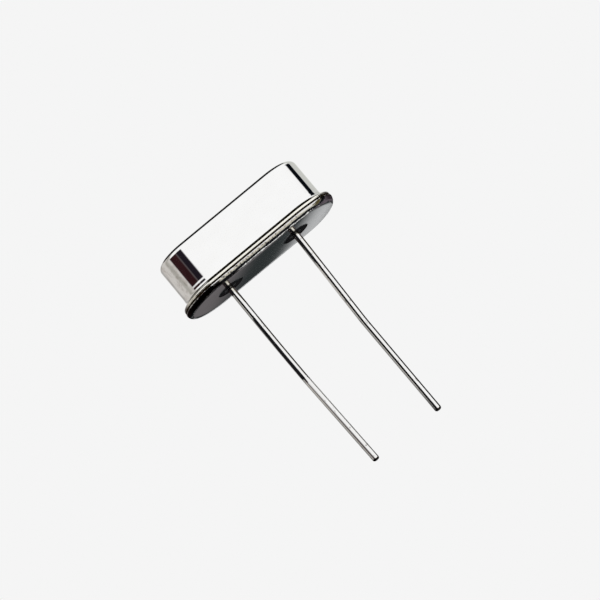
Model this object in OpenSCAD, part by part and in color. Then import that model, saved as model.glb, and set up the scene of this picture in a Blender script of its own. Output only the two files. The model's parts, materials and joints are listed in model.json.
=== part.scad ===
// Two-lead quartz crystal unit in a low oval metal can, millimetres.
// The origin is the centre of the seating plane, the flat underside of the base.
// +Z points at the can's top, the leads run down -Z, and their pitch is along X.

/* [Base] */
// Length of the base plate, along X
base_length = 10.95; // [10.2:0.05:13]
// Width of the base plate, along Y
base_width = 4.65; // [4.2:0.05:6]
// Thickness of the base's weld flange
base_thickness = 0.38; // [0.37:0.01:0.5]
// Radius of the base's stamped lower edge
base_edge_radius = 0.28; // [0.05:0.01:0.29]
// Radius of the base's upper edge, at the weld seam
base_corner_radius = 0.08; // [0.02:0.01:0.09]
// Height of the raised middle of the base, above its flange
plateau_height = 0.45; // [0.25:0.01:0.6]
// Gap between the raised middle and the can's wall
plateau_gap = 0.1; // [0.05:0.01:0.2]

/* [Can] */
// Height of the closed can above the seating plane
overall_height = 3.55; // [3.4:0.05:4.5]
// Thickness of the can's sheet
can_sheet = 0.25; // [0.18:0.01:0.28]
// Gap between the quartz blank and the can's ceiling
headroom = 0.2; // [0.18:0.01:0.4]
// Width of the base's flange outside the can's wall
flange_width = 0.42; // [0.42:0.01:0.6]
// How far the can's flange stops short of the base's edge
flange_step = 0.03; // [0:0.01:0.03]
// Outer radius of the can's top edge
can_top_radius = 0.35; // [0.3:0.01:0.6]
// Radius in the corner between the can's wall and its flange
can_foot_radius = 0.24; // [0.05:0.01:0.24]
// Radius of the upper edge of the can's flange
flange_edge_radius = 0.14; // [0.04:0.01:0.14]
// Radius of the lower edge of the can's flange, at the weld seam
seam_radius = 0.03; // [0.01:0.01:0.04]

/* [Leads] */
// Distance between the two leads, centre to centre
lead_pitch = 4.88; // [4.5:0.01:5.2]
// Diameter of a lead
lead_diameter = 0.43; // [0.35:0.01:0.5]
// Length of a lead below the seating plane
lead_length = 13.3; // [2:0.05:25]
// Radius on the end of a lead
lead_tip_radius = 0.14; // [0.03:0.01:0.17]
// Thickness of the plating on a lead, which ends where the glass begins
lead_plating = 0.005; // [0.001:0.001:0.01]
// Diameter of the flat head that carries a clip
head_diameter = 0.8; // [0.6:0.01:1]
// Thickness of that head
head_thickness = 0.12; // [0.08:0.01:0.2]
// Gap between the base's raised middle and a head
head_gap = 0.1; // [0.05:0.01:0.15]

/* [Glass seals] */
// Diameter of a glass seal
seal_diameter = 1.8; // [1.2:0.05:2]
// Depth of the glass's hollow between the lead and the base
meniscus_depth = 0.05; // [0.01:0.01:0.08]

/* [Spring clips] */
// Thickness of the clips' strip
clip_sheet = 0.1; // [0.06:0.01:0.14]
// Inner radius of the bend in a clip
clip_bend = 0.08; // [0.03:0.01:0.12]
// Width of a clip, along Y
clip_width = 1.1; // [0.8:0.05:1.4]
// Distance from the end of the quartz blank to a clip's upright
clip_inset = 0.35; // [0.2:0.01:0.5]
// How far the uprights stop below the top edge of the quartz blank
clip_drop = 0.2; // [0.1:0.01:0.3]
// Height of the slot's floor above the clip's foot
slot_floor = 0.15; // [0.05:0.01:0.18]
// Gap between the quartz blank and each side of its slot
slot_gap = 0.03; // [0.02:0.01:0.06]

/* [Quartz] */
// Length of the quartz blank, along X
blank_length = 8; // [7:0.05:8.4]
// Thickness of the quartz blank, along Y
blank_thickness = 0.17; // [0.1:0.01:0.35]
// Length of an electrode, along X
electrode_length = 4.4; // [3:0.05:5]
// Height of the bare quartz above and below an electrode
electrode_margin = 0.25; // [0.1:0.01:0.4]
// Thickness of an electrode's film
electrode_thickness = 0.02; // [0.01:0.005:0.02]
// Height of the tab that runs from an electrode to its clip
tab_height = 0.5; // [0.4:0.05:0.8]
// How far a dab of conductive adhesive stands above the quartz blank
dab_cover = 0.12; // [0.08:0.01:0.16]

/* [Hidden] */
$fn = 64;

LEFT = -1;
RIGHT = 1;
FRONT = -1;
BACK = 1;

// Every oval here is a stadium: a straight core line with round ends about it.
core_length = base_length - base_width;
base_radius = base_width / 2;
can_radius = base_radius - flange_width;
flange_radius = base_radius - flange_step;
plateau_radius = can_radius - can_sheet - plateau_gap;

lead_radius = lead_diameter / 2;
wire_radius = lead_radius - lead_plating;
seal_radius = seal_diameter / 2;

// Heights, from the seating plane up
plateau_top = base_thickness + plateau_height;
head_bottom = plateau_top + head_gap;
head_top = head_bottom + head_thickness;
foot_top = head_top + clip_sheet;
blank_bottom = foot_top + slot_floor;
blank_top = overall_height - can_sheet - headroom;
clip_top = blank_top - clip_drop;
electrode_bottom = blank_bottom + electrode_margin;
electrode_top = blank_top - electrode_margin;

clip_x = blank_length / 2 - clip_inset;
slot_width = blank_thickness + 2 * slot_gap;
dab_radius = clip_drop + dab_cover;

// No bend in the can's sheet has a smaller radius than this.
least_bend = 0.01;

// A cut runs this far past the faces it opens.
past = 0.5;

// Carries a half section around the oval: its x is the distance from the core line, its y the height.
module around_oval() {
    for (turn = [0, 180])
        rotate([0, 0, turn])
            translate([core_length / 2, 0, 0])
                rotate([0, 0, -90])
                    rotate_extrude(angle = 180)
                        children();
    for (side = [0, 1])
        mirror([0, side, 0])
            translate([-core_length / 2, 0, 0])
                rotate([90, 0, 90])
                    linear_extrude(core_length)
                        children();
}

// A rectangle from the axis out to width, with its upper outer corner rounded.
module shouldered(width, height, radius) {
    square([width, height - radius]);
    square([width - radius, height]);
    translate([width - radius, height - radius])
        intersection() {
            circle(radius);
            square(radius);
        }
}

// The same with the lower outer corner rounded as well.
module rounded_slab(width, height, low_radius, high_radius) {
    intersection() {
        shouldered(width, height, high_radius);
        translate([0, height])
            mirror([0, 1])
                shouldered(width, height, low_radius);
    }
}

// The fill of an inner corner that opens towards +x and +y.
module corner_fill(radius) {
    difference() {
        square(radius);
        translate([radius, radius])
            circle(radius);
    }
}

// Half section of the can: one drawn sheet, closed on top and turned out into a flange.
module can_section() {
    rise = overall_height - base_thickness;
    inner_radius = can_radius - can_sheet;
    inner_corner = max(can_top_radius - can_sheet, least_bend);
    bend = can_foot_radius + can_sheet;
    translate([0, base_thickness])
        difference() {
            union() {
                shouldered(can_radius, rise, can_top_radius);
                rounded_slab(flange_radius, can_sheet, seam_radius, flange_edge_radius);
                translate([can_radius, can_sheet])
                    corner_fill(can_foot_radius);
            }
            shouldered(inner_radius, rise - can_sheet, inner_corner);
            translate([inner_radius, 0])
                corner_fill(bend);
        }
}

module can() {
    color("silver")
        around_oval()
            can_section();
}

// Half section of the base: a flange with a rounded lower edge, and the raised middle.
module base_section() {
    rounded_slab(base_radius, base_thickness, base_edge_radius, base_corner_radius);
    square([plateau_radius, plateau_top]);
}

module base() {
    color("lightgray")
        difference() {
            around_oval()
                base_section();
            for (side = [LEFT, RIGHT])
                translate([side * lead_pitch / 2, 0, -past])
                    cylinder(h = plateau_top + 2 * past, r = seal_radius);
        }
}

// Glass fused between a lead and the base, hollowed a little at both faces.
module glass_seal(side) {
    ring = seal_radius - wire_radius;
    hollow_radius = (pow(ring / 2, 2) + pow(meniscus_depth, 2)) / (2 * meniscus_depth);
    color("black")
        translate([side * lead_pitch / 2, 0, 0])
            rotate_extrude()
                difference() {
                    translate([wire_radius, 0])
                        square([ring, plateau_top]);
                    for (centre = [meniscus_depth - hollow_radius,
                                   plateau_top - meniscus_depth + hollow_radius])
                        translate([wire_radius + ring / 2, centre])
                            circle(hollow_radius, $fn = 256);
                }
}

// Round wire: plated with a rounded end below the base, bare in the glass, and headed inside the can.
module lead(side) {
    color("gainsboro")
        translate([side * lead_pitch / 2, 0, 0])
            rotate_extrude() {
                mirror([0, 1])
                    shouldered(lead_radius, lead_length, lead_tip_radius);
                square([wire_radius, head_bottom]);
                translate([0, head_bottom])
                    square([head_diameter / 2, head_thickness]);
            }
}

// Side view of a clip: a strip of metal bent into an L, from the bend's outer corner at the origin.
module clip_section(run, rise) {
    bend = clip_bend + clip_sheet;
    translate([-run, 0])
        square([run - bend, clip_sheet]);
    translate([-clip_sheet, bend])
        square([clip_sheet, rise - bend]);
    translate([-bend, bend])
        intersection() {
            difference() {
                circle(bend);
                circle(clip_bend);
            }
            translate([0, -bend])
                square(bend);
        }
}

// The foot lies on a lead's head, and the slotted upright holds the quartz.
module spring_clip(side) {
    foot_start = lead_pitch / 2 - head_diameter / 2;
    upright_face = clip_x + clip_sheet / 2;
    color("darkgray")
        mirror([side == LEFT ? 1 : 0, 0, 0])
            difference() {
                translate([upright_face, clip_width / 2, head_top])
                    rotate([90, 0, 0])
                        linear_extrude(clip_width)
                            clip_section(upright_face - foot_start, clip_top - head_top);
                translate([clip_x - past, -slot_width / 2, blank_bottom])
                    cube([2 * past, slot_width, blank_top - blank_bottom]);
            }
}

module quartz_blank() {
    color("aliceblue", 0.6)
        translate([-blank_length / 2, -blank_thickness / 2, blank_bottom])
            cube([blank_length, blank_thickness, blank_top - blank_bottom]);
}

// Metal film on one face of the quartz, with a tab out to the clip on one side.
module electrode(face, side) {
    inner = face == FRONT ? -blank_thickness / 2 - electrode_thickness : blank_thickness / 2;
    color("goldenrod")
        translate([0, inner, 0])
            mirror([side == LEFT ? 1 : 0, 0, 0]) {
                translate([-electrode_length / 2, 0, electrode_bottom])
                    cube([electrode_length, electrode_thickness, electrode_top - electrode_bottom]);
                translate([0, 0, electrode_top - tab_height])
                    cube([blank_length / 2, electrode_thickness, tab_height]);
            }
}

// Conductive adhesive over the top of a slot: it joins a clip, the quartz and an electrode's tab.
module adhesive(side) {
    color("dimgray")
        difference() {
            translate([side * clip_x, 0, clip_top])
                sphere(dab_radius);
            spring_clip(side);
            quartz_blank();
            electrode(FRONT, LEFT);
            electrode(BACK, RIGHT);
        }
}

can();
base();
glass_seal(LEFT);  // glass_seal_left
glass_seal(RIGHT);  // glass_seal_right
lead(LEFT);  // lead_left
lead(RIGHT);  // lead_right
spring_clip(LEFT);  // spring_clip_left
spring_clip(RIGHT);  // spring_clip_right
quartz_blank();
electrode(FRONT, LEFT);  // electrode_front
electrode(BACK, RIGHT);  // electrode_back
adhesive(LEFT);  // adhesive_left
adhesive(RIGHT);  // adhesive_right
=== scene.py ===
"""Looks of a two-lead quartz crystal unit: bright drawn can, stamped base, glass seals and wire leads."""
import json
import math

import bpy
from mathutils import Matrix, Vector
from mathutils.geometry import tessellate_polygon

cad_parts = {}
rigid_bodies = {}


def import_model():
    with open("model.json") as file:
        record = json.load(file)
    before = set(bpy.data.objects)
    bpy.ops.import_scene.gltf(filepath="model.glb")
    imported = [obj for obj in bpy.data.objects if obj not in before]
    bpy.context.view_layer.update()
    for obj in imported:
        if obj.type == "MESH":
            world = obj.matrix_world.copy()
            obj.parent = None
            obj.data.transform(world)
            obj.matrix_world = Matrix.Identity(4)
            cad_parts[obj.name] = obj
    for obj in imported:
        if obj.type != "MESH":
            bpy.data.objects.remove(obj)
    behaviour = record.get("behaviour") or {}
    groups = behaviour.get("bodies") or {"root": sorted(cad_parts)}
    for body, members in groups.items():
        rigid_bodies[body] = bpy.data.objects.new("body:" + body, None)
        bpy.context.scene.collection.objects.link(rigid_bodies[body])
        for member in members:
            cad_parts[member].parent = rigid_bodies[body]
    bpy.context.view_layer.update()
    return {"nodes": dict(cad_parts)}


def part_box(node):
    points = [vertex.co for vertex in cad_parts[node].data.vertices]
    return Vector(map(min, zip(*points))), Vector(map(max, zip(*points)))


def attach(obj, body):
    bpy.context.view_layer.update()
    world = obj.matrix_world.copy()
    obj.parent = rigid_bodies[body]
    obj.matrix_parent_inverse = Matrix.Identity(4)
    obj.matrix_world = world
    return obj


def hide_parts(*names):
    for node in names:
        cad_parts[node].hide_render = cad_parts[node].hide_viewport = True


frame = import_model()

MM = 0.001

# Sizes that a node's box doesn't show, in millimetres. They are the same as in the part's source.
CAN_SHEET = 0.25
FLANGE_WIDTH = 0.42
CAN_TOP_RADIUS = 0.35
CAN_FOOT_RADIUS = 0.24
FLANGE_EDGE_RADIUS = 0.14
SEAM_RADIUS = 0.03
BASE_CORNER_RADIUS = 0.08
BASE_EDGE_RADIUS = 0.28
PLATEAU_GAP = 0.1
SEAL_DIAMETER = 1.8
LEAD_DIAMETER = 0.43
LEAD_PLATING = 0.005
LEAD_TIP_RADIUS = 0.14
HEAD_THICKNESS = 0.12
MENISCUS_DEPTH = 0.05

# The rim's turn up at the right end: where it starts along X and out from the core line, its rise at
# the tip, and the heights between which it fades out in the can
RIM_BEND_START = 3.6
RIM_BEND_INNER = 1.8
RIM_BEND_RISE = 0.135
RIM_BEND_FADE = (0.63, 1.2)

# How far the can's wall stands out above its foot, and the heights between which that fades out
WALL_SWELL = 0.01
WALL_SWELL_FADE = (0.94, 1.14)

# How the underside's shading leans along Y, for each millimetre along X and along Y
UNDERSIDE_LEAN = (0.020, 0.012)

# How its shading rolls down at the edge: the slope there, how far in that reaches, and where it fades
# out along X
UNDERSIDE_ROLL = 0.2
UNDERSIDE_ROLL_WIDTH = 0.3
UNDERSIDE_ROLL_FADE = (2.0, 3.5)

# The finishes of each skin, in the order of its materials
DRAWN, SHEARED, BLACKENED, FOOT_SHADE = range(4)
STAMPED, SEAM, PLATED, ROLLED = range(4)
WIRE, CUT = range(2)

# Where finishes change on a rounded edge, in degrees: the surface faces out at 0 and up at 90
FOOT_SHADE_START = 26
SHEAR_START = 24
SEAM_END = 4
ROLL_START = -52
CUT_START = -15

# How far the black of the seam, weld tint and painted shade of the groove, reaches up the can's rim
SEAM_TINT_AND_SHADE_REACH = 0.02

# Where the rim turns brown towards the part's ends, along X, and its colour there
TINT_FROM = 4.9
TINT_TO = 5.25
TINT_COLOUR = (0.10, 0.075, 0.075)

# Where the stain on the can's wall sets in towards the left end, along X
STAIN = (-3.3, -4.3)

# Where the painted shade along the can's foot, a near-black line in its crease, fades in and out along X
FOOT_SHADE_LEFT = (-3.55, -3.25)
FOOT_SHADE_RIGHT = (4.65, 4.35)

# Where the painted dark reflection at the left of the base's edge fades in: along X on the edge and on its
# rolled foot, and in height
DARK_REFLECTION_EDGE = (-2.6, -2.8)
DARK_REFLECTION_ROLL = (-1.1, -1.6)
DARK_REFLECTION_HEIGHT = (0.265, 0.245)
DARK_REFLECTION_COLOUR = (0.03, 0.027, 0.027)

# How the wires run: their place at the glass, beside the CAD axis, and then stations of
# (depth, slope along X, slope along Y), between which the slope changes evenly
WIRE_SHIFT = {"left": -0.05, "right": 0.0}
WIRE_RUN = {
    "left": [
        (0.0, -0.005, 0.015),
        (2.1, -0.005, 0.015),
        (2.5, -0.005, 0.08),
        (6.7, 0.012, 0.08),
        (7.2, 0.025, -0.088),
        (15.0, 0.0275, -0.088),
    ],
    "right": [
        (0.0, -0.022, 0.1),
        (1.8, -0.03, 0.1),
        (2.6, -0.033, 0.012),
        (6.2, -0.033, 0.012),
        (6.8, 0.003, 0.0),
        (15.0, 0.003, 0.0),
    ],
}

# How finely the turned and swept surfaces are cut
STEPS_ROUND_END = 96
STEPS_TURNED = 96
STEPS_FILLET = 12
STEPS_WALL = 60
STEPS_WIRE = 80
STEPS_UNDERSIDE = 10

# How near the core line the underside's rings reach, just outside the glass
UNDERSIDE_RING = 1.0

# The photo's viewpoint, solved from the can's outline, in degrees and millimetres
CAMERA_AZIMUTH = -1.64
CAMERA_ELEVATION = -11.515
CAMERA_ROLL = -39.887
CAMERA_DISTANCE = 186.16
CAMERA_TARGET = (0.168, 0.0, -3.197)
CAMERA_LENS = 192.852
SENSOR_WIDTH = 36.0
CAMERA_CLIP = (10.0, 20000.0)

# The stage, in millimetres: its backdrop's colour, the floor, whose glow evens it out with the
# backdrop, and the lamp, whose power is in watts
PALE = (0.913, 0.913, 0.913)
FLOOR_HEIGHT = -200.0
FLOOR_RADIUS = 8000.0
FLOOR_SIDES = 64
FLOOR_GLOW = 0.43
LAMP_PLACE = (-100.0, -150.0, 300.0)
LAMP_SIZE = 300.0
LAMP_POWER = 0.5


def box_mm(node):
    """Lowest and highest corner of a CAD node, in millimetres."""
    low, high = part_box(node)
    return Vector(low) / MM, Vector(high) / MM


# ---------------------------------------------------------------- sections

def straight(start, end, steps=1):
    """A straight stretch of a section, as stations (radius, height, normal). The normal is on its left."""
    run = Vector(end) - Vector(start)
    along = run.normalized()
    return [(*(Vector(start) + run * i / steps), (-along.y, along.x)) for i in range(steps + 1)]


def arc(centre, radius, start, end, steps=STEPS_FILLET):
    """A round stretch of a section about centre, from angle start to end in degrees."""
    side = 1 if end < start else -1
    stations = []
    for i in range(steps + 1):
        angle = math.radians(start + (end - start) * i / steps)
        c, s = math.cos(angle), math.sin(angle)
        stations.append((centre[0] + radius * c, centre[1] + radius * s, (side * c, side * s)))
    return stations


# ---------------------------------------------------------------- paths that a section is carried along

def oval_path(core_length):
    """Stations (centre, outward direction) around a stadium whose core line lies along X."""
    stations = []
    for side in (1, -1):
        for i in range(STEPS_ROUND_END + 1):
            angle = math.radians(-90 * side + 180 * i / STEPS_ROUND_END)
            stations.append(((side * core_length / 2, 0.0), (math.cos(angle), math.sin(angle))))
    return stations


def circle_path(x):
    """Stations around a circle about the upright axis at x."""
    stations = []
    for i in range(STEPS_TURNED):
        angle = 2 * math.pi * i / STEPS_TURNED
        stations.append(((x, 0.0), (math.cos(angle), math.sin(angle))))
    return stations


class Skin:
    """Collects faces with an exact normal at each corner, and makes one closed mesh of them."""

    # Decimals of a millimetre to which corners are the same point, and the step that tries out a bend
    DIGITS = 6
    STEP = 0.001

    def __init__(self):
        self.points = []
        self.index = {}
        self.faces = []
        self.normals = []
        self.finishes = []

    def point(self, *place):
        """The number of the point at a place."""
        key = tuple(round(v, self.DIGITS) for v in place)
        if key not in self.index:
            self.index[key] = len(self.points)
            self.points.append(key)
        return self.index[key]

    def face(self, corners, finish=0):
        """Adds a face from (place, normal) pairs. Corners that fall together are left out."""
        kept = []
        for place, normal in corners:
            i = self.point(*place)
            if not kept or (kept[-1][0] != i and kept[0][0] != i):
                kept.append((i, normal))
        if len(kept) > 2:
            self.faces.append([i for i, _ in kept])
            self.normals += [normal for _, normal in kept]
            self.finishes.append(finish)

    def carry(self, section, path, finish=0):
        """Carries each stretch of a section along a closed path."""
        def corner(station, at):
            radius, height, normal = station
            (cx, cy), (ux, uy) = at
            place = (cx + radius * ux, cy + radius * uy, height)
            return place, (normal[0] * ux, normal[0] * uy, normal[1])

        for stretch in section:
            for low, high in zip(stretch, stretch[1:]):
                for i, at in enumerate(path):
                    after = path[(i + 1) % len(path)]
                    corners = [corner(low, at), corner(high, at), corner(high, after), corner(low, after)]
                    self.face(corners, finish)

    def cap(self, path, radius, height, up, holes=(), finish=0):
        """A flat face inside the path, with holes given as (path, radius) pairs."""
        def corner(place):
            return place, (0.0, 0.0, 1.0 if up else -1.0)

        rings = []
        for ring_path, ring_radius in [(path, radius), *holes]:
            rings.append([
                (cx + ring_radius * ux, cy + ring_radius * uy, height)
                for (cx, cy), (ux, uy) in ring_path
            ])
        if not holes:
            ring = rings[0] if up else rings[0][::-1]
            self.face([corner(place) for place in ring], finish)
            return
        places = [place for ring in rings for place in ring]
        for triangle in tessellate_polygon([[Vector(p) for p in ring] for ring in rings]):
            a, b, c = (Vector(places[i]) for i in triangle)
            turned = (b - a).cross(c - a).z > 0
            order = triangle if turned == up else triangle[::-1]
            self.face([corner(places[i]) for i in order], finish)

    def lean(self, finish, slope):
        """Leans the shading of one finish by slope(x, y)."""
        at = 0
        for face, kind in zip(self.faces, self.finishes):
            for i in face:
                if kind == finish:
                    x, y, _ = self.points[i]
                    along, across = slope(x, y)
                    nx, ny, nz = self.normals[at]
                    self.normals[at] = (nx + along, ny + across, nz)
                at += 1

    def reshape(self, bend):
        """Moves every point by bend, a smooth map, and turns the normals with it."""
        turns = []
        for point in self.points:
            here = Vector(bend(*point))
            columns = []
            for axis in range(3):
                beside = Vector(point)
                beside[axis] += self.STEP
                columns.append((Vector(bend(*beside)) - here) / self.STEP)
            turns.append(Matrix(columns).inverted())
        corners = [i for face in self.faces for i in face]
        self.normals = [(turns[i] @ Vector(n)).normalized() for i, n in zip(corners, self.normals)]
        self.points = [bend(*point) for point in self.points]

    def build(self, name):
        """Makes the object."""
        mesh = bpy.data.meshes.new(name)
        mesh.from_pydata([[v * MM for v in p] for p in self.points], [], self.faces)
        mesh.shade_smooth()
        mesh.normals_split_custom_set(self.normals)
        mesh.polygons.foreach_set("material_index", self.finishes)
        mesh.update()
        piece = bpy.data.objects.new(name, mesh)
        bpy.context.collection.objects.link(piece)
        return piece


# ---------------------------------------------------------------- materials

# The sockets of a Mix node that carry colours. Their names repeat for other kinds of data.
MIX_FIRST, MIX_SECOND, MIX_RESULT = 6, 7, 2


def is_socket(source):
    """Whether a source is a socket, not a plain value."""
    return isinstance(source, bpy.types.NodeSocket)


class Tree:
    """Short names for making the nodes of a material or of the world."""

    def __init__(self, tree):
        self.tree = tree

    def feed(self, socket, source):
        """Links a socket to its source, or sets a plain value on it."""
        if is_socket(source):
            self.tree.links.new(source, socket)
        else:
            socket.default_value = source

    def add(self, kind, inputs=(), **settings):
        """Makes a node."""
        node = self.tree.nodes.new(kind)
        for key, value in settings.items():
            setattr(node, key, value)
        for socket, source in dict(inputs).items():
            self.feed(node.inputs[socket], source)
        return node

    def math(self, operation, *values):
        """The result of a Math node."""
        return self.add("ShaderNodeMath", enumerate(values), operation=operation).outputs[0]

    def mix(self, share, first, second):
        """Mixes two colours by share. Each is a socket or a plain colour."""
        node = self.add("ShaderNodeMix", {0: share}, data_type="RGBA")
        for index, colour in ((MIX_FIRST, first), (MIX_SECOND, second)):
            self.feed(node.inputs[index], colour if is_socket(colour) else (*colour, 1.0))
        return node.outputs[MIX_RESULT]


class Finish(Tree):
    """A material in the making."""

    def __init__(self, name):
        self.material = bpy.data.materials.new(name)
        self.material.use_nodes = True
        super().__init__(self.material.node_tree)
        self.shader = self.tree.nodes["Principled BSDF"]

    def set(self, **values):
        """Feeds the shader's sockets, named with _ for a space."""
        for key, value in values.items():
            self.feed(self.shader.inputs[key.replace("_", " ")], value)

    def coordinates(self, scale):
        """Object coordinates in millimetres, times scale."""
        place = self.add("ShaderNodeTexCoord").outputs["Object"]
        stretch = [s / MM for s in scale]
        return self.add("ShaderNodeMapping", {"Vector": place, "Scale": stretch}).outputs["Vector"]

    def noise(self, scale, detail=3.0, roughness=0.5):
        """Noise with scale cells to the millimetre along X, Y and Z."""
        place = self.coordinates(scale)
        inputs = {"Vector": place, "Scale": 1.0, "Detail": detail, "Roughness": roughness}
        return self.add("ShaderNodeTexNoise", inputs).outputs["Fac"]

    def ramp(self, source, low, high, from_low=0.3, from_high=0.7):
        """Maps a stretch of the source, by default the middle of a noise, onto low to high."""
        stretch = {"From Min": from_low, "From Max": from_high, "To Min": low, "To Max": high}
        return self.add("ShaderNodeMapRange", {"Value": source, **stretch}).outputs["Result"]

    def blend(self, source, first, second, from_low=0.3, from_high=0.7):
        """Mixes two colours by noise."""
        return self.mix(self.ramp(source, 0.0, 1.0, from_low, from_high), first, second)

    def place(self, axis):
        """The place along an axis, in metres."""
        place = self.add("ShaderNodeTexCoord").outputs["Object"]
        return self.add("ShaderNodeSeparateXYZ", {"Vector": place}).outputs[axis]

    def beyond(self, axis, limits):
        """Goes from 0 at the first of two limits along an axis to 1 at the second, in millimetres."""
        first, second = (v * MM for v in limits)
        rising = first < second
        low, high = (first, second) if rising else (second, first)
        return self.ramp(self.place(axis), float(not rising), float(rising), low, high)

    def tinted_ends(self, clean):
        """Browns a colour towards the two ends of the part."""
        distance = self.math("ABSOLUTE", self.place("X"))
        share = self.ramp(distance, 0.0, 1.0, TINT_FROM * MM, TINT_TO * MM)
        return self.mix(share, clean, TINT_COLOUR)

    def bump(self, height, depth_mm, before=None):
        """A bump of the given depth, on top of the bump before it."""
        inputs = {"Height": height, "Strength": 1.0, "Distance": depth_mm * MM}
        if before is not None:
            inputs["Normal"] = before
        return self.add("ShaderNodeBump", inputs).outputs["Normal"]


def can_metal():
    """Bright drawn nickel silver: nearly a mirror, softly wavy, with a grey stain at the left end."""
    m = Finish("can_metal")
    draw = m.noise((14.0, 14.0, 0.6), detail=2.0)
    wave = m.noise((0.9, 0.9, 1.6), detail=1.0)
    stain = m.noise((3.0, 3.0, 2.2), detail=4.0, roughness=0.6)
    clean = m.blend(wave, (0.915, 0.913, 0.908), (0.93, 0.93, 0.928))
    stained = m.math("MULTIPLY", m.ramp(stain, 0.0, 1.0, 0.48, 0.66), m.beyond("X", STAIN))
    m.set(
        Metallic=1.0,
        Base_Color=m.mix(stained, clean, (0.70, 0.675, 0.66)),
        Roughness=m.ramp(draw, 0.03, 0.06),
        Normal=m.bump(draw, 0.0001, m.bump(wave, 0.0015)),
    )
    return m.material


def sheared_edge():
    """The trimmed rim of the can's flange: the same metal, torn a little rough, browned at both ends."""
    m = Finish("sheared_edge")
    tear = m.noise((14.0, 14.0, 3.0), detail=4.0)
    clean = m.blend(tear, (0.96, 0.93, 0.84), (1.0, 0.985, 0.92))
    m.set(
        Metallic=1.0,
        Base_Color=m.tinted_ends(clean),
        Roughness=m.ramp(tear, 0.16, 0.26),
        Normal=m.bump(tear, 0.003),
    )
    return m.material


def seam_tint_and_shade():
    """Metal along the seam, black: weld tint, and painted shade of the groove between the can and the base.
    """
    m = Finish("seam_tint_and_shade")
    seam_mottle = m.noise((9.0, 9.0, 9.0), detail=4.0)
    m.set(
        # Partly painted shade: the seam's near-black colour stands for weld tint and for the shade in the
        # groove between can and base.
        Base_Color=m.blend(seam_mottle, (0.003, 0.002, 0.002), (0.025, 0.017, 0.006)),
        Roughness=m.ramp(seam_mottle, 0.5, 0.7),
        Specular_IOR_Level=0.0,
        Normal=m.bump(seam_mottle, 0.004),
    )
    return m.material


def painted_foot_shade():
    """The turned-out foot of the can: bright at both ends, and between them painted shade, near black, in
    the crease.
    """
    m = Finish("painted_foot_shade")
    painted_dark = m.noise((9.0, 9.0, 9.0), detail=3.0)
    black = m.blend(painted_dark, (0.003, 0.003, 0.002), (0.012, 0.010, 0.005))
    # Painted shade: between the ends the crease at the can's foot is coloured near black and has no gloss.
    share = m.math("MULTIPLY", m.beyond("X", FOOT_SHADE_LEFT), m.beyond("X", FOOT_SHADE_RIGHT))
    m.set(
        Metallic=m.ramp(share, 1.0, 0.0, 0.0, 1.0),
        Base_Color=m.mix(share, (0.66, 0.65, 0.61), black),
        Specular_IOR_Level=0.0,
        Roughness=m.ramp(painted_dark, 0.12, 0.2),
        Normal=m.bump(painted_dark, 0.001),
    )
    return m.material


def base_metal():
    """Nickel plate over stamped steel: bright and wavy, with a painted dark reflection at the left of its
    edge.
    """
    m = Finish("base_metal")
    orange_peel = m.noise((3.0, 3.0, 5.0), detail=2.0)
    grain = m.noise((30.0, 30.0, 30.0), detail=3.0)
    clean = m.blend(orange_peel, (0.74, 0.73, 0.72), (0.84, 0.83, 0.82))
    # Painted reflection: near black at the left of the edge, where the plate would mirror dark
    # surroundings.
    painted_dark = m.math("MULTIPLY", m.beyond("X", DARK_REFLECTION_EDGE), m.beyond("Z", DARK_REFLECTION_HEIGHT))
    m.set(
        Metallic=1.0,
        Base_Color=m.tinted_ends(m.mix(painted_dark, clean, DARK_REFLECTION_COLOUR)),
        Roughness=m.ramp(grain, 0.08, 0.14),
        Normal=m.bump(grain, 0.0004, m.bump(orange_peel, 0.018)),
    )
    return m.material


def rolled_edge():
    """The turn from the base's edge to its underside: the same plate, dented all along, with a painted dark
    reflection at the left.
    """
    m = Finish("rolled_edge")
    dents = m.noise((1.5, 1.5, 2.0), detail=3.0)
    clean = m.blend(dents, (0.74, 0.73, 0.72), (0.84, 0.83, 0.82))
    m.set(
        Metallic=1.0,
        # Painted reflection: the rolled edge turns near black at the left.
        Base_Color=m.mix(m.beyond("X", DARK_REFLECTION_ROLL), clean, DARK_REFLECTION_COLOUR),
        Roughness=m.ramp(dents, 0.06, 0.12),
        Normal=m.bump(dents, 0.13),
    )
    return m.material


def plated_face():
    """The flat underside of the base: plain nickel plate with a fine grain."""
    m = Finish("plated_face")
    haze = m.noise((0.8, 1.6, 1.0), detail=2.0)
    grain = m.noise((24.0, 24.0, 24.0), detail=2.0)
    m.set(
        Metallic=1.0,
        Base_Color=m.blend(haze, (0.76, 0.75, 0.74), (0.84, 0.84, 0.83)),
        Roughness=m.ramp(grain, 0.08, 0.12),
        Normal=m.bump(grain, 0.0001, m.bump(haze, 0.0008)),
    )
    return m.material


def seal_glass():
    """Black fused sealing glass, glossy, with a faint ripple."""
    m = Finish("seal_glass")
    ripple = m.noise((2.5, 2.5, 2.5))
    m.set(
        Base_Color=m.blend(ripple, (0.001, 0.001, 0.0015), (0.004, 0.004, 0.005)),
        Roughness=m.ramp(ripple, 0.12, 0.2),
        IOR=1.52,
        Specular_IOR_Level=0.03,
        Normal=m.bump(ripple, 0.004),
    )
    return m.material


def lead_metal():
    """Bright plated wire with fine drawing marks along it, and a few dull specks."""
    m = Finish("lead_metal")
    draw = m.noise((45.0, 45.0, 1.2), detail=4.0)
    patch = m.noise((1.0, 1.0, 0.6))
    pits = m.noise((5.0, 5.0, 3.0), detail=2.0)
    clean = m.blend(patch, (0.86, 0.855, 0.845), (0.92, 0.917, 0.91))
    m.set(
        Metallic=1.0,
        Base_Color=m.mix(m.ramp(pits, 0.0, 1.0, 0.62, 0.7), clean, (0.45, 0.44, 0.42)),
        Roughness=m.ramp(patch, 0.02, 0.05),
        Normal=m.bump(draw, 0.0002, m.bump(patch, 0.001)),
    )
    return m.material


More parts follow.
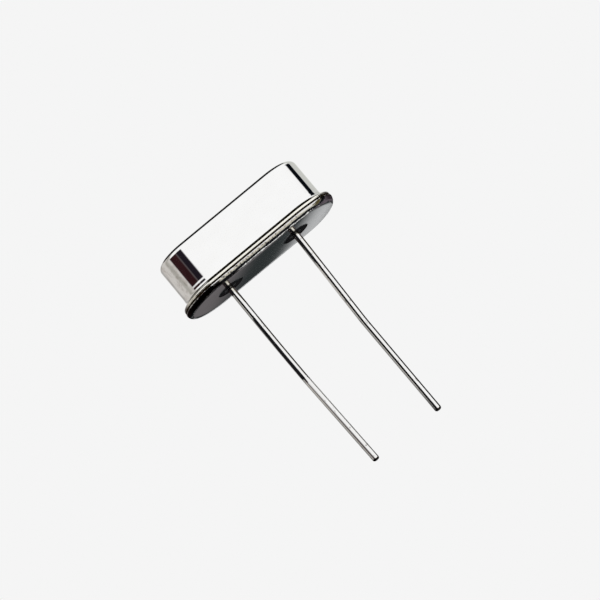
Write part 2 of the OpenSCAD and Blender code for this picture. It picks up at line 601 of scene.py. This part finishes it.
def cut_end():
    """The cropped end of a lead: dull bare metal."""
    m = Finish("cut_end")
    tear = m.noise((12.0, 12.0, 12.0), detail=3.0)
    m.set(
        Metallic=1.0,
        Base_Color=m.blend(tear, (0.02, 0.018, 0.016), (0.10, 0.09, 0.085)),
        Roughness=m.ramp(tear, 0.4, 0.55),
        Normal=m.bump(tear, 0.004),
    )
    return m.material


def clip_metal():
    """Satin nickel strip with a grain along X."""
    m = Finish("clip_metal")
    grain = m.noise((2.0, 40.0, 40.0), detail=4.0)
    m.set(
        Metallic=1.0,
        Base_Color=m.blend(grain, (0.60, 0.59, 0.56), (0.72, 0.71, 0.68)),
        Roughness=m.ramp(grain, 0.22, 0.34),
        Normal=m.bump(grain, 0.0008),
    )
    return m.material


def quartz():
    """Lapped quartz: clear, with a fine frost."""
    m = Finish("quartz")
    frost = m.noise((50.0, 50.0, 50.0), detail=4.0)
    m.set(
        Base_Color=m.blend(frost, (0.90, 0.93, 0.95), (0.96, 0.98, 1.0)),
        Roughness=m.ramp(frost, 0.12, 0.24),
        IOR=1.54,
        Transmission_Weight=1.0,
        Normal=m.bump(frost, 0.0005),
    )
    return m.material


def electrode_film():
    """Silver film laid down on lapped quartz: bright, with the quartz's fine frost."""
    m = Finish("electrode_film")
    frost = m.noise((50.0, 50.0, 50.0), detail=4.0)
    m.set(
        Metallic=1.0,
        Base_Color=m.blend(frost, (0.82, 0.81, 0.79), (0.92, 0.91, 0.90)),
        Roughness=m.ramp(frost, 0.16, 0.26),
        Normal=m.bump(frost, 0.0004),
    )
    return m.material


def adhesive():
    """Silver-filled epoxy: dull grey, speckled with metal flakes."""
    m = Finish("adhesive")
    flakes = m.noise((35.0, 35.0, 35.0), detail=2.0)
    lumps = m.noise((6.0, 6.0, 6.0))
    m.set(
        Base_Color=m.blend(flakes, (0.34, 0.33, 0.32), (0.55, 0.54, 0.52), 0.45, 0.6),
        Metallic=m.ramp(flakes, 0.1, 0.7, 0.5, 0.6),
        Roughness=m.ramp(lumps, 0.5, 0.7),
        Normal=m.bump(flakes, 0.001, m.bump(lumps, 0.006)),
    )
    return m.material


# ---------------------------------------------------------------- pieces

def dress(piece, materials, node):
    """Gives a piece its materials and lets it stand for its CAD node."""
    for material in materials:
        piece.data.materials.append(material)
    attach(piece, "root")
    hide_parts(node)


def smooth(value, start, end):
    """Goes smoothly from 0 at start to 1 at end."""
    share = min(max((value - start) / (end - start), 0.0), 1.0)
    return share * share * (3 - 2 * share)


# The oval of the base: its end, its outer radius, half its straight core line, and the can's wall
RIM_END = box_mm("base")[1].x
RIM_RADIUS = box_mm("base")[1].y
CORE_HALF = RIM_END - RIM_RADIUS
WALL_RADIUS = RIM_RADIUS - FLANGE_WIDTH


def nearest_on_core(x):
    """The place on the core line that is nearest to a point at x."""
    return min(max(x, -CORE_HALF), CORE_HALF)


def rim_bend(x, y, z):
    """The rim is turned up a little at the right end."""
    radius = math.hypot(max(x - CORE_HALF, 0.0), y)
    along = max(x - RIM_BEND_START, 0.0) / (RIM_END - RIM_BEND_START)
    across = max(radius - RIM_BEND_INNER, 0.0) / (RIM_RADIUS - RIM_BEND_INNER)
    low = 1 - smooth(z, *RIM_BEND_FADE)
    return x, y, z + RIM_BEND_RISE * along ** 2 * across ** 2 * low


def can_bend(x, y, z):
    """The can's wall stands out a hair's breadth above its foot, and its flange follows the rim."""
    centre = nearest_on_core(x)
    radius = math.hypot(x - centre, y)
    on_wall = 1 - smooth(radius, WALL_RADIUS, WALL_RADIUS + CAN_FOOT_RADIUS)
    swell = WALL_SWELL * (1 - smooth(z, *WALL_SWELL_FADE)) * on_wall
    if radius > 0:
        x, y = centre + (x - centre) * (1 + swell / radius), y * (1 + swell / radius)
    return rim_bend(x, y, z)


def underside_slope(x, y):
    """How the underside's shading leans: a slight twist, and a roll at its edge except at the right."""
    beside = x - nearest_on_core(x)
    radius = math.hypot(beside, y)
    edge = RIM_RADIUS - BASE_EDGE_RADIUS
    near_edge = smooth(radius, edge - UNDERSIDE_ROLL_WIDTH, edge)
    roll = UNDERSIDE_ROLL * near_edge * (1 - smooth(x, *UNDERSIDE_ROLL_FADE))
    twist = UNDERSIDE_LEAN[0] * x + UNDERSIDE_LEAN[1] * y
    if radius == 0:
        return 0.0, twist
    return roll * beside / radius, roll * y / radius + twist


def make_can(materials):
    """The can: a drawn shell with a closed top and a flange turned out at its foot."""
    low, high = box_mm("can")
    base_top, top = low.z, high.z
    core = (high.x - low.x) - (high.y - low.y)
    flange = high.y
    wall = WALL_RADIUS
    inner = wall - CAN_SHEET
    foot = base_top + CAN_SHEET
    bend = CAN_FOOT_RADIUS + CAN_SHEET
    ceiling = top - CAN_SHEET
    corner = CAN_TOP_RADIUS - CAN_SHEET
    edge_centre = (flange - FLANGE_EDGE_RADIUS, foot - FLANGE_EDGE_RADIUS)
    foot_centre = (wall + CAN_FOOT_RADIUS, foot + CAN_FOOT_RADIUS)
    seam_centre = (flange - SEAM_RADIUS, base_top + SEAM_RADIUS)
    tint_and_shade_top = seam_centre[1] + SEAM_TINT_AND_SHADE_REACH
    drawn = [
        arc((wall - CAN_TOP_RADIUS, top - CAN_TOP_RADIUS), CAN_TOP_RADIUS, 90, 0, 2 * STEPS_FILLET),
        straight((wall, top - CAN_TOP_RADIUS), (wall, foot + CAN_FOOT_RADIUS), STEPS_WALL),
        arc(foot_centre, CAN_FOOT_RADIUS, 180, 180 + FOOT_SHADE_START),
    ]
    shaded_foot = [
        arc(foot_centre, CAN_FOOT_RADIUS, 180 + FOOT_SHADE_START, 270),
        straight((wall + CAN_FOOT_RADIUS, foot), (flange - FLANGE_EDGE_RADIUS, foot)),
        arc(edge_centre, FLANGE_EDGE_RADIUS, 90, SHEAR_START),
    ]
    sheared = [
        arc(edge_centre, FLANGE_EDGE_RADIUS, SHEAR_START, 0),
        straight((flange, foot - FLANGE_EDGE_RADIUS), (flange, tint_and_shade_top)),
    ]
    blackened = [
        straight((flange, tint_and_shade_top), (flange, seam_centre[1])),
        arc(seam_centre, SEAM_RADIUS, 0, -90),
    ]
    inside = [
        straight((flange - SEAM_RADIUS, base_top), (inner + bend, base_top)),
        arc((inner + bend, base_top + bend), bend, 270, 180),
        straight((inner, base_top + bend), (inner, ceiling - corner)),
        arc((inner - corner, ceiling - corner), corner, 0, 90),
    ]
    path = oval_path(core)
    skin = Skin()
    skin.carry(drawn + inside, path, DRAWN)
    skin.carry(sheared, path, SHEARED)
    skin.carry(blackened, path, BLACKENED)
    skin.carry(shaded_foot, path, FOOT_SHADE)
    skin.cap(path, wall - CAN_TOP_RADIUS, top, up=True)
    skin.cap(path, inner - corner, ceiling, up=False)
    skin.reshape(can_bend)
    dress(skin.build("drawn_can"), materials, "can")


def lead_x(side):
    """Where a lead's axis stands along X."""
    low, high = box_mm("lead_" + side)
    return (low.x + high.x) / 2


def make_base(materials):
    """The base: a stamped plate with a raised middle and a hole for each seal."""
    low, high = box_mm("base")
    core = (high.x - low.x) - (high.y - low.y)
    edge = high.y
    flange_top = box_mm("can")[0].z
    plateau_top = high.z
    plateau = edge - FLANGE_WIDTH - CAN_SHEET - PLATEAU_GAP
    seal = SEAL_DIAMETER / 2
    corner_centre = (edge - BASE_CORNER_RADIUS, flange_top - BASE_CORNER_RADIUS)
    flat = edge - BASE_EDGE_RADIUS
    edge_centre = (flat, BASE_EDGE_RADIUS)
    stamped = [
        straight((plateau, plateau_top), (plateau, flange_top)),
        straight((plateau, flange_top), (edge - BASE_CORNER_RADIUS, flange_top)),
        arc(corner_centre, BASE_CORNER_RADIUS, SEAM_END, 0),
        straight((edge, flange_top - BASE_CORNER_RADIUS), (edge, BASE_EDGE_RADIUS)),
        arc(edge_centre, BASE_EDGE_RADIUS, 0, ROLL_START, 2 * STEPS_FILLET),
    ]
    rolled = [arc(edge_centre, BASE_EDGE_RADIUS, ROLL_START, -90, 2 * STEPS_FILLET)]
    seam = [arc(corner_centre, BASE_CORNER_RADIUS, 90, SEAM_END)]
    path = oval_path(core)
    holes = [(circle_path(lead_x(side)), seal) for side in ("left", "right")]
    skin = Skin()
    skin.carry(stamped, path, STAMPED)
    skin.carry(seam, path, SEAM)
    skin.carry(rolled, path, ROLLED)
    skin.cap(path, plateau, plateau_top, up=True, holes=holes)
    skin.carry([straight((flat, 0.0), (UNDERSIDE_RING, 0.0), STEPS_UNDERSIDE)], path, PLATED)
    skin.cap(path, UNDERSIDE_RING, 0.0, up=False, holes=holes, finish=PLATED)
    skin.lean(PLATED, underside_slope)
    for hole_path, radius in holes:
        skin.carry([straight((radius, 0.0), (radius, plateau_top))], hole_path)
    skin.reshape(rim_bend)
    dress(skin.build("stamped_base"), materials, "base")


def make_seal(side, material):
    """Glass between a lead and the base, hollowed a little at both faces."""
    low, high = box_mm("glass_seal_" + side)
    inner = LEAD_DIAMETER / 2 - LEAD_PLATING
    outer = SEAL_DIAMETER / 2
    ring = outer - inner
    hollow = ((ring / 2) ** 2 + MENISCUS_DEPTH ** 2) / (2 * MENISCUS_DEPTH)
    half = math.degrees(math.asin(ring / 2 / hollow))
    middle = inner + ring / 2
    section = [
        straight((inner, low.z), (inner, high.z)),
        arc((middle, high.z - MENISCUS_DEPTH + hollow), hollow, 270 - half, 270 + half),
        straight((outer, high.z), (outer, low.z)),
        arc((middle, low.z + MENISCUS_DEPTH - hollow), hollow, 90 - half, 90 + half),
    ]
    x0 = lead_x(side)
    shift = WIRE_SHIFT[side]

    def bend(x, y, z):
        """The hole follows the wire, which doesn't stand quite on the CAD axis."""
        return x + shift * (outer - math.hypot(x - x0, y)) / ring, y, z

    skin = Skin()
    skin.carry(section, circle_path(x0))
    skin.reshape(bend)
    dress(skin.build("fused_seal_" + side), [material], "glass_seal_" + side)


def wire_bend(side, x, y, z):
    """Where a point of a straight lead goes when the wire bends as it really runs."""
    stations = WIRE_RUN[side]
    x += WIRE_SHIFT[side]
    for (start, *slope), (end, *later) in zip(stations, stations[1:]):
        run = min(-z, end) - start
        if run <= 0:
            break
        share = run / (end - start)
        x += run * (slope[0] + (later[0] - slope[0]) * share / 2)
        y += run * (slope[1] + (later[1] - slope[1]) * share / 2)
    return x, y, z


def make_lead(side, materials):
    """A wire with a rounded end and, inside the can, a flat head."""
    low, high = box_mm("lead_" + side)
    radius = LEAD_DIAMETER / 2
    wire = radius - LEAD_PLATING
    head = (high.x - low.x) / 2
    head_bottom = high.z - HEAD_THICKNESS
    tip = LEAD_TIP_RADIUS
    tip_centre = (radius - tip, low.z + tip)
    drawn = [
        straight((head, high.z), (head, head_bottom)),
        straight((head, head_bottom), (wire, head_bottom)),
        straight((wire, head_bottom), (wire, 0.0)),
        straight((wire, 0.0), (radius, 0.0)),
        straight((radius, 0.0), (radius, low.z + tip), STEPS_WIRE),
        arc(tip_centre, tip, 0, CUT_START),
    ]
    path = circle_path(lead_x(side))
    skin = Skin()
    skin.carry(drawn, path, WIRE)
    skin.carry([arc(tip_centre, tip, CUT_START, -90)], path, CUT)
    skin.cap(path, head, high.z, up=True)
    skin.cap(path, radius - tip, low.z, up=False, finish=CUT)
    skin.reshape(lambda x, y, z: wire_bend(side, x, y, z))
    dress(skin.build("wire_lead_" + side), materials, "lead_" + side)


def dress_inner(names, material):
    """CAD nodes whose shape is right keep their mesh and get their finish."""
    for name in names:
        node = frame["nodes"][name]
        for part in [node, *node.children_recursive]:
            if part.type == "MESH":
                part.data.materials.clear()
                part.data.materials.append(material)


# ---------------------------------------------------------------- stage

class Sky(Tree):
    """The studio as the metal sees it: shares of a ray's direction that fall on a card."""

    def __init__(self, tree):
        super().__init__(tree)
        self.ray = self.add("ShaderNodeTexCoord").outputs["Generated"]
        split = self.add("ShaderNodeSeparateXYZ", {0: self.ray})
        forward = self.math("MULTIPLY", split.outputs["Y"], -1.0)
        self.azimuth = self.math("ARCTAN2", split.outputs["X"], forward)
        self.elevation = self.math("ARCSINE", split.outputs["Z"])

    def rise(self, value, start, end):
        """Goes smoothly from 0 at start to 1 at end."""
        inputs = {
            "Value": value,
            "From Min": min(start, end),
            "From Max": max(start, end),
            "To Min": float(start > end),
            "To Max": float(start < end),
        }
        return self.add("ShaderNodeMapRange", inputs, interpolation_type="SMOOTHSTEP").outputs["Result"]

    def card(self, around, above, soft):
        """The share on a card that spans two angles around and two above, in degrees."""
        share = None
        for value, (low, high) in ((self.azimuth, around), (self.elevation, above)):
            for edge, outward in ((low, -soft), (high, soft)):
                start, end = math.radians(edge + outward), math.radians(edge - outward)
                step = self.rise(value, start, end)
                share = step if share is None else self.math("MULTIPLY", share, step)
        return share

    def disk(self, centre, radius, soft):
        """The share on a round card about a centre, given as angles around and above."""
        around, above = (math.radians(v) for v in centre)
        middle = (
            math.sin(around) * math.cos(above),
            -math.cos(around) * math.cos(above),
            math.sin(above),
        )
        towards = self.add("ShaderNodeVectorMath", {0: self.ray, 1: middle}, operation="DOT_PRODUCT")
        start, end = (math.cos(math.radians(radius + outward)) for outward in (soft, -soft))
        return self.rise(towards.outputs["Value"], start, end)


WHITE = (1.0, 1.0, 1.0)

# Cards round the part, in degrees: around is 0 in front and 90 at its right, above is 90 overhead. A
# range around ends at the back, at 180 or -180, and numbers beyond that only keep its soft edge away, so
# a card behind the part is given from both sides or as a disk. A later card hides an earlier one.
CARDS = [
    # Soft grey room behind the part
    dict(around=(-168, -64.5), above=(-10, 70), soft=3, colour=(0.60, 0.575, 0.545)),
    dict(around=(-200, -164), above=(-10, 70), soft=12, colour=(0.90, 0.90, 0.89)),
    dict(around=(-93, -76), above=(-10, 70), soft=6, colour=(0.41, 0.395, 0.36)),
    dict(around=(-157, -138), above=(-10, 70), soft=8, colour=(0.41, 0.40, 0.39)),
    dict(around=(116, 200), above=(-10, 70), soft=3, colour=(0.60, 0.605, 0.575)),
    dict(around=(160, 200), above=(-10, 70), soft=12, colour=(0.78, 0.79, 0.76)),
    # Two dark flags left of the camera, with a dim gap between them
    dict(around=(-64, -9), above=(-10, 18), soft=3, colour=(0.10, 0.085, 0.088)),
    dict(around=(-30, -9), above=(-10, 18.5), soft=3, colour=(0.013, 0.010, 0.015)),
    dict(around=(-64, -34), above=(-10, 18.5), soft=3, colour=(0.030, 0.010, 0.012)),
    # Black flag at the right
    dict(around=(92.7, 115.7), above=(-50, 25), soft=2, colour=(0.002, 0.003, 0.005)),
    # Grey room and flags again, close above the level, for the leads
    dict(around=(-184, -80), above=(-10, 12.3), soft=0.4, colour=(0.28, 0.275, 0.265)),
    dict(around=(-63, -5), above=(-10, 12.5), soft=0.4, colour=(0.004, 0.004, 0.004)),
    dict(around=(78, 190), above=(-10, 12.5), soft=0.4, colour=(0.005, 0.005, 0.005)),
    # Table top below: dark, with a cream card in front and to the right
    dict(around=(-200, 0.75), above=(-70, 8.5), soft=0.3, colour=(0.010, 0.010, 0.012)),
    dict(around=(-150, -80), above=(-45, 6), soft=3, colour=(0.022, 0.014, 0.014)),
    dict(around=(-1, 92), above=(-43, -1), soft=1.5, colour=(0.80, 0.74, 0.62)),
    dict(around=(-1, 92), above=(-43, -25), soft=6, colour=(0.46, 0.47, 0.40)),
    dict(around=(72, 92), above=(-43, 6), soft=3, colour=(0.10, 0.08, 0.03)),
    # A dark and a white strip that the leads' roots see by way of the underside
    dict(around=(54, 74), above=(-22, -3), soft=2, colour=(0.05, 0.05, 0.04)),
    dict(around=(12, 54), above=(-22, -3), soft=1, colour=(1.0, 0.98, 0.92)),
    # Dark grey behind at the right, and nearly black far below, with a bright spot for the rolled edge
    dict(around=(114, 200), above=(-46, 6), soft=3, colour=(0.13, 0.11, 0.13)),
    dict(around=(-400, 400), above=(-100, -44), soft=2, colour=(0.010, 0.010, 0.012)),
    dict(centre=(173, -59), radius=13, soft=3, colour=(0.95, 0.97, 0.95)),
    # What the underside sees, low behind the part
    dict(centre=(180, -15), radius=20, soft=6, colour=(0.028, 0.034, 0.035)),
    dict(centre=(180, -27), radius=8, soft=4.5, colour=(0.15, 0.14, 0.145)),
    dict(centre=(180, 0.8), radius=6, soft=4, colour=(0.56, 0.57, 0.58)),
    # Dark ceiling
    dict(centre=(180, 72), radius=36, soft=2, colour=(0.01, 0.01, 0.01)),
]


def make_world():
    """A pale studio: the camera sees plain backdrop, and the metal also sees the cards."""
    world = bpy.data.worlds.new("studio")
    bpy.context.scene.world = world
    world.use_nodes = True
    tree = world.node_tree
    sky = Sky(tree)
    sight = WHITE
    for card in CARDS:
        place = dict(card)
        colour = place.pop("colour")
        share = sky.disk(**place) if "centre" in place else sky.card(**place)
        sight = sky.mix(share, sight, colour)
    path = sky.add("ShaderNodeLightPath")
    plain = sky.math("MAXIMUM", path.outputs["Is Camera Ray"], path.outputs["Is Transmission Ray"])
    background = tree.nodes["Background"]
    sky.feed(background.inputs["Color"], sky.mix(plain, sight, PALE))
    background.inputs["Strength"].default_value = 1.0


def make_floor():
    """A plain pale floor well below the part, which hangs free in the picture."""
    mesh = bpy.data.meshes.new("floor")
    corners = []
    for i in range(FLOOR_SIDES):
        angle = 2 * math.pi * i / FLOOR_SIDES
        out = FLOOR_RADIUS * MM
        corners.append((out * math.cos(angle), out * math.sin(angle), FLOOR_HEIGHT * MM))
    mesh.from_pydata(corners, [], [range(FLOOR_SIDES)])
    floor = bpy.data.objects.new("floor", mesh)
    bpy.context.collection.objects.link(floor)
    m = Finish("floor_paint")
    m.set(Base_Color=(*PALE, 1.0), Roughness=1.0, Emission_Color=(*PALE, 1.0), Emission_Strength=FLOOR_GLOW)
    mesh.materials.append(m.material)
    floor.visible_glossy = False


def make_lamp():
    """A broad soft lamp, overhead and in front at the left."""
    data = bpy.data.lights.new("soft_overhead", "AREA")
    data.shape = "DISK"
    data.size = LAMP_SIZE * MM
    data.energy = LAMP_POWER
    lamp = bpy.data.objects.new("soft_overhead", data)
    lamp.location = Vector(LAMP_PLACE) * MM
    lamp.rotation_euler = (-lamp.location).to_track_quat("-Z", "Y").to_euler()
    lamp.visible_glossy = False
    bpy.context.collection.objects.link(lamp)


def make_camera():
    """The camera at the photo's viewpoint."""
    azimuth, elevation, roll = (math.radians(v) for v in (CAMERA_AZIMUTH, CAMERA_ELEVATION, CAMERA_ROLL))
    back = Vector((
        math.sin(azimuth) * math.cos(elevation),
        -math.cos(azimuth) * math.cos(elevation),
        math.sin(elevation),
    ))
    right = Vector((math.cos(azimuth), math.sin(azimuth), 0.0))
    up = back.cross(right)
    turned_right = right * math.cos(roll) + up * math.sin(roll)
    turned_up = up * math.cos(roll) - right * math.sin(roll)
    data = bpy.data.cameras.new("camera")
    data.lens = CAMERA_LENS
    data.sensor_width = SENSOR_WIDTH
    data.clip_start, data.clip_end = (v * MM for v in CAMERA_CLIP)
    camera = bpy.data.objects.new("camera", data)
    place = (Vector(CAMERA_TARGET) + back * CAMERA_DISTANCE) * MM
    axes = Matrix((turned_right, turned_up, back)).transposed()
    camera.matrix_world = Matrix.Translation(place) @ axes.to_4x4()
    bpy.context.collection.objects.link(camera)
    bpy.context.scene.camera = camera


bpy.context.scene.view_settings.view_transform = "Standard"
make_camera()
make_world()
make_floor()
make_lamp()

tint = seam_tint_and_shade()
make_can([can_metal(), sheared_edge(), tint, painted_foot_shade()])
make_base([base_metal(), tint, plated_face(), rolled_edge()])
glass = seal_glass()
wire = [lead_metal(), cut_end()]
for side in ("left", "right"):
    make_seal(side, glass)
    make_lead(side, wire)
dress_inner(["spring_clip_left", "spring_clip_right"], clip_metal())
dress_inner(["quartz_blank"], quartz())
dress_inner(["electrode_front", "electrode_back"], electrode_film())
dress_inner(["adhesive_left", "adhesive_right"], adhesive())
